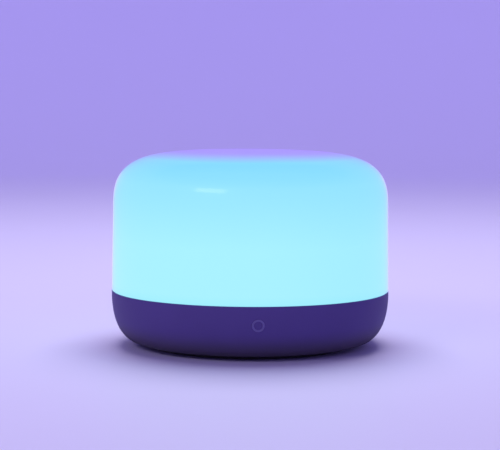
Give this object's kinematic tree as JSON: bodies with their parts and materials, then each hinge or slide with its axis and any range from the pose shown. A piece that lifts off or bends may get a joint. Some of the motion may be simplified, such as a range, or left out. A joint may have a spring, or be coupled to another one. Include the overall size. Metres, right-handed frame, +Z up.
{
  "type": "smart bedside lamp",
  "caption": "Rounded cylindrical bedside lamp: an opal shade lit from inside on a bowl-shaped base, with a push button at the front and a low-voltage power socket behind.",
  "frame": {"origin": "middle of the footprint, on the surface the lamp stands on", "axes": "+Z up along the lamp's turned axis; the button faces -Y and the power socket faces +Y; +X is to the right seen from the front"},
  "size_m": [0.2, 0.2, 0.14],
  "materials": {
    "opal": "satin translucent opal, lit from inside",
    "grey_shell": "fine matt texture",
    "button_cap": "fine matt texture",
    "ring_inlay": "satin",
    "dark_plastic": "satin",
    "silicone": "soft matt",
    "foam": "soft matt",
    "white_plastic": "satin",
    "frosted": "frosted",
    "aluminium": "satin",
    "thermal_pad": "soft matt",
    "white_board": "white solder mask",
    "green_board": "solder mask",
    "led_white": "phosphor",
    "led_colour": "clear",
    "steel": "zinc plated",
    "chip": "moulded",
    "connector": "satin",
    "capacitor": "sleeved",
    "ferrite": "matt",
    "brass": "bright",
    "cable": "satin"
  },
  "bodies": {
    "lamp_body": {"base_shell": "grey_shell", "board_screw_1": "steel", "board_screw_2": "steel", "board_screw_3": "steel", "board_screw_4": "steel", "bottom_cover": "dark_plastic", "button_board": "green_board", "button_connector": "connector", "button_guide": "white_plastic", "button_lead": "cable", "button_ring": "ring_inlay", "button_screw_1": "steel", "button_screw_2": "steel", "button_spring": "steel", "capacitor_1": "capacitor", "capacitor_2": "capacitor", "cover_screw_1": "steel", "cover_screw_2": "steel", "cover_screw_3": "steel", "cover_screw_4": "steel", "deck_screw_1": "steel", "deck_screw_2": "steel", "deck_screw_3": "steel", "deck_screw_4": "steel", "driver_board": "green_board", "driver_chip": "chip", "foot_ring": "silicone", "heat_sink": "aluminium", "inductor": "ferrite", "led_board": "white_board", "led_board_screw_1": "steel", "led_board_screw_2": "steel", "led_board_screw_3": "steel", "led_colour_1": "led_colour", "led_colour_2": "led_colour", "led_colour_3": "led_colour", "led_colour_4": "led_colour", "led_colour_5": "led_colour", "led_connector": "connector", "led_lead": "cable", "led_socket": "connector", "led_white_1": "led_white", "led_white_2": "led_white", "led_white_3": "led_white", "led_white_4": "led_white", "led_white_5": "led_white", "light_deck": "white_plastic", "mixing_dome": "frosted", "power_jack": "chip", "power_jack_pin": "brass", "shade": "opal", "shade_gasket": "foam", "socket_bezel": "dark_plastic", "tact_switch": "chip", "thermal_pad": "thermal_pad", "wifi_module": "green_board", "wifi_shield": "steel"},
    "button": {"power_button": "button_cap"},
    "plunger": {"switch_plunger": "connector"}
  },
  "joints": [
    {"name": "button_press", "type": "slide", "parent": "lamp_body", "child": "button", "axis": [0, 0.9886, 0.1507], "range_m": [0, 0.0006], "stiffness_N_per_m": 1000, "springref_m": -0.0006, "deforming": ["button_spring"]},
    {"name": "switch_travel", "type": "slide", "parent": "lamp_body", "child": "plunger", "axis": [0, 0.9886, 0.1507], "range_m": [0, 0.0006]}
  ],
  "couplings": [
    {"joint": "switch_travel", "follows": "button_press", "ratio": 1}
  ]
}
